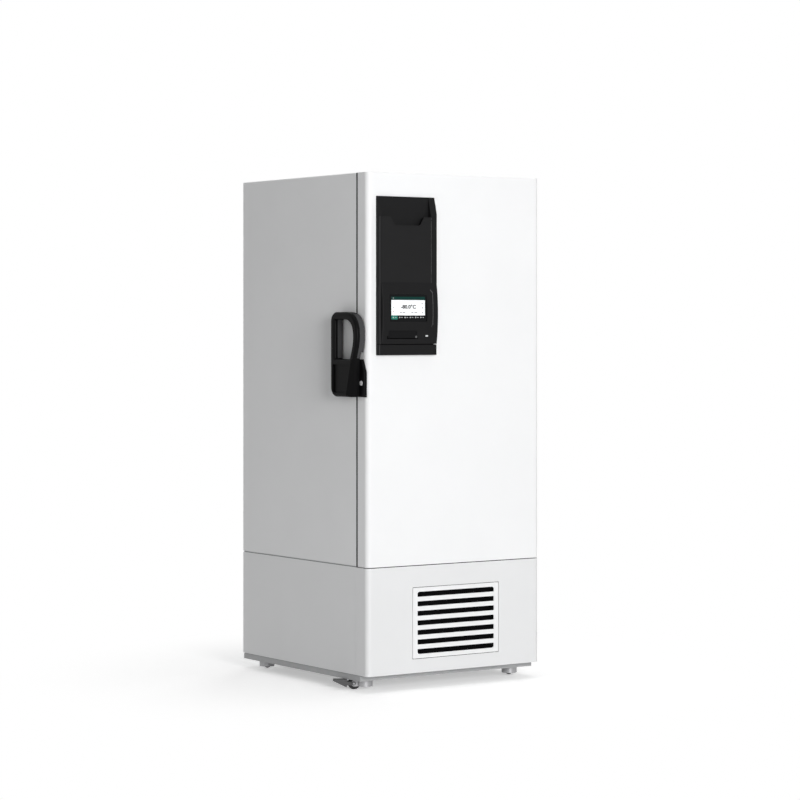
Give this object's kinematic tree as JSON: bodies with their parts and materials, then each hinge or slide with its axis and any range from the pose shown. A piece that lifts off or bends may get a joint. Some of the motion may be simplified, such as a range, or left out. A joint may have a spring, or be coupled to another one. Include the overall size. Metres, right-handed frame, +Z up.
{
  "type": "ultra low temperature freezer",
  "caption": "Upright white laboratory freezer with an insulated swing door, side latch handle, door-mounted control panel with document pocket, lower grille and casters.",
  "frame": {"origin": "on the floor, under the middle of the cabinet's width and depth, without handle, panel, hinges and rear spacers", "axes": "+Z up, -Y out of the door's front face, +X to the viewer's right, where the hinges are"},
  "size_m": [0.8753, 0.963, 1.945],
  "materials": {
    "white_paint": "satin",
    "galvanised": "matte",
    "foam": "matte",
    "steel_liner": "brushed",
    "cold_plate": "satin",
    "white_plastic": "satin",
    "gasket_grey": "matte",
    "hinge_metal": "satin",
    "panel_black": "satin",
    "pocket_black": "satin",
    "screen_glass": "gloss",
    "flap_black": "satin",
    "lamp_lens": "gloss",
    "handle_black": "gloss",
    "latch_steel": "brushed",
    "lock_chrome": "polished",
    "frame_grey": "matte",
    "caster_zinc": "satin",
    "wheel_rubber": "matte",
    "pedal_black": "satin",
    "filter_fibre": "matte",
    "fin_aluminium": "satin",
    "motor_black": "satin",
    "fan_plastic": "satin",
    "grommet_rubber": "matte",
    "exchanger_steel": "satin",
    "box_grey": "matte",
    "inlet_black": "satin"
  },
  "bodies": {
    "cabinet": {"cabinet_shell": "white_paint", "rear_panel": "galvanised", "cabinet_insulation": "foam", "inner_liner": "steel_liner", "evaporator_plates": "cold_plate", "breaker_frame": "white_plastic", "access_port_sleeve": "white_plastic", "temperature_probe": "steel_liner", "shelf_rails": "steel_liner", "shelves": "steel_liner", "inner_door_pivots": "hinge_metal", "hinge_cabinet_leaves": "hinge_metal", "latch_strike": "latch_steel", "lower_side_panels": "white_paint", "lower_rear_panel": "galvanised", "lower_front_panel": "white_paint", "machine_frame": "frame_grey", "base_pan": "frame_grey", "base_skirt": "frame_grey", "caster_plates": "caster_zinc", "air_filter": "filter_fibre", "condenser": "fin_aluminium", "fan_shroud": "galvanised", "fan_motor": "motor_black", "compressors": "motor_black", "compressor_grommets": "grommet_rubber", "heat_exchanger": "exchanger_steel", "control_box": "box_grey", "power_inlet": "inlet_black", "rear_spacers": "inlet_black"},
    "door": {"door_shell": "white_paint", "door_insulation": "foam", "door_liner": "white_plastic", "door_gasket": "gasket_grey", "hinge_door_leaves": "hinge_metal", "panel_housing": "panel_black", "pocket_cover": "pocket_black", "display_bezel": "panel_black", "touch_screen": "screen_glass", "status_lens": "lamp_lens", "panel_trim": "panel_black", "lock_block": "handle_black"},
    "inner_door_lower": {"inner_door_lower": "white_plastic"},
    "inner_door_upper": {"inner_door_upper": "white_plastic"},
    "handle_lever": {"handle_lever": "handle_black", "latch_hook": "latch_steel"},
    "lock_cylinder": {"lock_cylinder": "lock_chrome"},
    "port_flap": {"port_flap": "flap_black"},
    "front_grille": {"front_grille": "white_paint"},
    "fan_rotor": {"fan_rotor": "fan_plastic"},
    "caster_front_left": {"caster_fork_front_left": "caster_zinc"},
    "wheel_front_left": {"caster_wheel_front_left": "wheel_rubber"},
    "pedal_front_left": {"brake_pedal_front_left": "pedal_black"},
    "caster_front_right": {"caster_fork_front_right": "caster_zinc"},
    "wheel_front_right": {"caster_wheel_front_right": "wheel_rubber"},
    "pedal_front_right": {"brake_pedal_front_right": "pedal_black"},
    "caster_rear_left": {"caster_fork_rear_left": "caster_zinc"},
    "wheel_rear_left": {"caster_wheel_rear_left": "wheel_rubber"},
    "caster_rear_right": {"caster_fork_rear_right": "caster_zinc"},
    "wheel_rear_right": {"caster_wheel_rear_right": "wheel_rubber"}
  },
  "joints": [
    {"name": "door_hinge", "type": "hinge", "parent": "cabinet", "child": "door", "pos_m": [0.4165, -0.376, 1.206], "axis": [0, 0, 1], "range_deg": [0, 120]},
    {"name": "inner_door_lower_hinge", "type": "hinge", "parent": "cabinet", "child": "inner_door_lower", "pos_m": [0.2395, -0.3595, 0.8809], "axis": [0, 0, 1], "range_deg": [0, 90]},
    {"name": "inner_door_upper_hinge", "type": "hinge", "parent": "cabinet", "child": "inner_door_upper", "pos_m": [0.2395, -0.3595, 1.5176], "axis": [0, 0, 1], "range_deg": [0, 90]},
    {"name": "handle_pull", "type": "hinge", "parent": "door", "child": "handle_lever", "pos_m": [-0.4225, -0.3955, 1.18], "axis": [1, 0, 0], "range_deg": [0, 35]},
    {"name": "lock_turn", "type": "hinge", "parent": "door", "child": "lock_cylinder", "pos_m": [-0.41, -0.423, 1.157], "axis": [-1, 0, 0], "range_deg": [0, 90]},
    {"name": "flap_hinge", "type": "hinge", "parent": "door", "child": "port_flap", "pos_m": [-0.2635, -0.475, 1.329], "axis": [1, 0, 0], "range_deg": [0, 95]},
    {"name": "grille_hinge", "type": "hinge", "parent": "cabinet", "child": "front_grille", "pos_m": [0.004, -0.4405, 0.124], "axis": [1, 0, 0], "range_deg": [0, 80]},
    {"name": "fan_spin", "type": "hinge", "parent": "cabinet", "child": "fan_rotor", "pos_m": [0.004, -0.3175, 0.246], "axis": [0, -1, 0], "continuous": true},
    {"name": "swivel_front_left", "type": "hinge", "parent": "cabinet", "child": "caster_front_left", "pos_m": [-0.3405, -0.3355, 0.043], "axis": [0, 0, 1], "continuous": true},
    {"name": "roll_front_left", "type": "hinge", "parent": "caster_front_left", "child": "wheel_front_left", "pos_m": [-0.37346, -0.31286, 0.024], "axis": [0.5662, 0.8243, 0], "continuous": true},
    {"name": "brake_front_left", "type": "hinge", "parent": "caster_front_left", "child": "pedal_front_left", "pos_m": [-0.37346, -0.31286, 0.024], "axis": [0.5662, 0.8243, 0], "range_deg": [-12, 0]},
    {"name": "swivel_front_right", "type": "hinge", "parent": "cabinet", "child": "caster_front_right", "pos_m": [0.3405, -0.3355, 0.043], "axis": [0, 0, 1], "continuous": true},
    {"name": "roll_front_right", "type": "hinge", "parent": "caster_front_right", "child": "wheel_front_right", "pos_m": [0.36314, -0.30254, 0.024], "axis": [0.8243, -0.5662, 0], "continuous": true},
    {"name": "brake_front_right", "type": "hinge", "parent": "caster_front_right", "child": "pedal_front_right", "pos_m": [0.36314, -0.30254, 0.024], "axis": [0.8243, -0.5662, 0], "range_deg": [-12, 0]},
    {"name": "swivel_rear_left", "type": "hinge", "parent": "cabinet", "child": "caster_rear_left", "pos_m": [-0.3405, 0.3675, 0.043], "axis": [0, 0, 1], "continuous": true},
    {"name": "roll_rear_left", "type": "hinge", "parent": "caster_rear_left", "child": "wheel_rear_left", "pos_m": [-0.31786, 0.40046, 0.024], "axis": [0.8243, -0.5662, 0], "continuous": true},
    {"name": "swivel_rear_right", "type": "hinge", "parent": "cabinet", "child": "caster_rear_right", "pos_m": [0.3405, 0.3675, 0.043], "axis": [0, 0, 1], "continuous": true},
    {"name": "roll_rear_right", "type": "hinge", "parent": "caster_rear_right", "child": "wheel_rear_right", "pos_m": [0.3545, 0.40498, 0.024], "axis": [0.9368, -0.3499, 0], "continuous": true}
  ],
  "couplings": [
    {"joint": "inner_door_lower_hinge", "follows": "door_hinge", "ratio": 0.75},
    {"joint": "inner_door_upper_hinge", "follows": "door_hinge", "ratio": 0.75}
  ]
}
